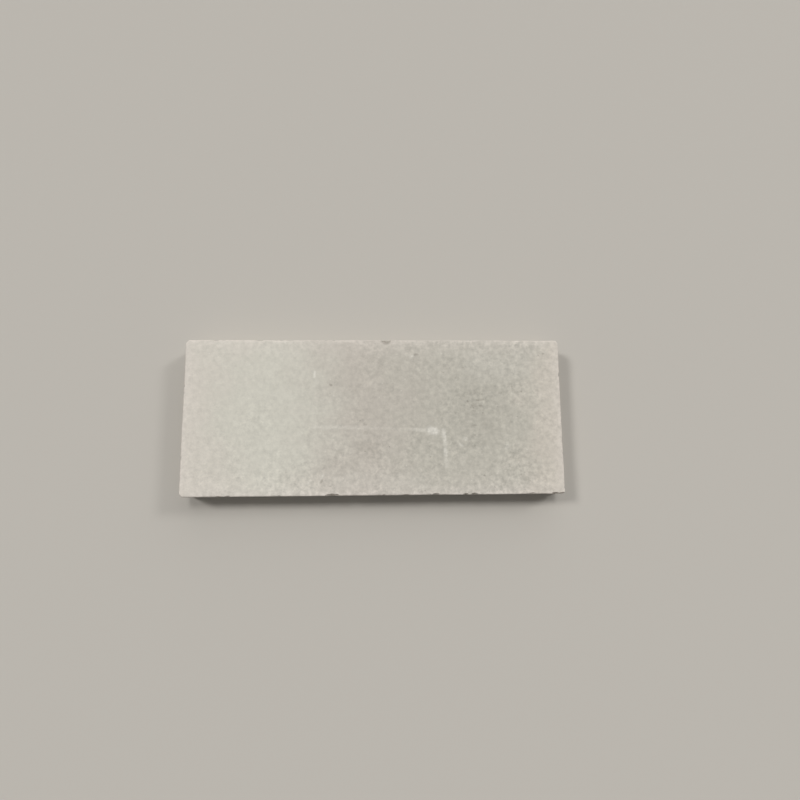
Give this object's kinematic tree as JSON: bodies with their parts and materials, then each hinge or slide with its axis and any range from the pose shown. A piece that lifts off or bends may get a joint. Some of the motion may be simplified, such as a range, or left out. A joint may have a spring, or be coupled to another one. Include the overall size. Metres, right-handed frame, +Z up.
{
  "type": "thin solid brick",
  "caption": "Thin solid rectangular brick in pale cream-grey, fine grained, with worn arrises and chipped edges, for laying flat in mortar or as a lining or paving unit.",
  "frame": {"origin": "middle of the lower bed face, on the surface that the brick lies on", "axes": "+X along the length, +Y from the front stretcher face to the back one, +Z up through the thickness"},
  "size_m": [0.23, 0.095, 0.02],
  "materials": {
    "brick_body": "matte, fine sandy grain, pale cream-grey with a slightly darker right half, small pores and light scuffs"
  },
  "bodies": {
    "root": {"brick": "brick_body"}
  },
  "joints": []
}
